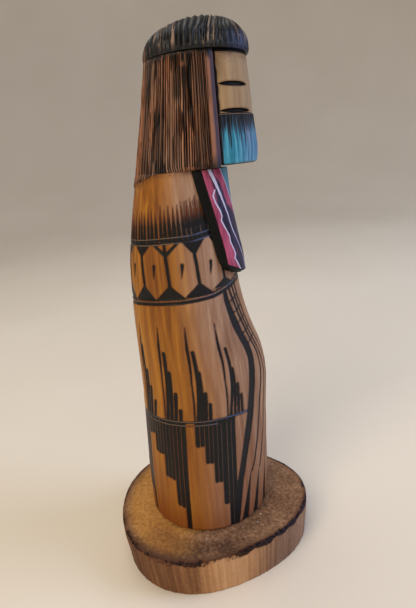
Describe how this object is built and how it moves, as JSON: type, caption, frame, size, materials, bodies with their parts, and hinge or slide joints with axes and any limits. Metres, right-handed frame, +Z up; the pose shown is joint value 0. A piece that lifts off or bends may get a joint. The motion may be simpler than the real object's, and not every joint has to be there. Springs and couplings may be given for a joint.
{
  "type": "carved doll figurine",
  "caption": "Standing carved wooden doll in a robe with burned line patterns, straight hair, a plain face, a painted beard and collar, on a round log slice.",
  "frame": {"origin": "middle of the log slice's underside", "axes": "+Z up, the figure faces -Y, +X is the figure's own left"},
  "size_m": [0.0936, 0.0986, 0.2492],
  "materials": {
    "slab_wood": "rough sawn, charred at the rim",
    "screw_steel": "zinc-plated",
    "robe_wood": "satin oiled, with burned lines",
    "blue_paint": "thin matte paint on wood",
    "collar_paint": "matte paint in stripes on wood",
    "burned_hair": "scorched, satin",
    "burned_cap": "scorched, satin",
    "face_wood": "bare, smooth sanded",
    "dowel_wood": "bare"
  },
  "bodies": {
    "root": {"base_slab": "slab_wood", "base_screw": "screw_steel", "robe_body": "robe_wood", "chest_panel": "blue_paint", "lapel_left": "collar_paint", "lapel_right": "collar_paint", "hair_fall": "burned_hair", "hair_cap": "burned_cap", "face_mask": "face_wood", "beard_block": "blue_paint", "neck_dowel": "dowel_wood"}
  },
  "joints": []
}
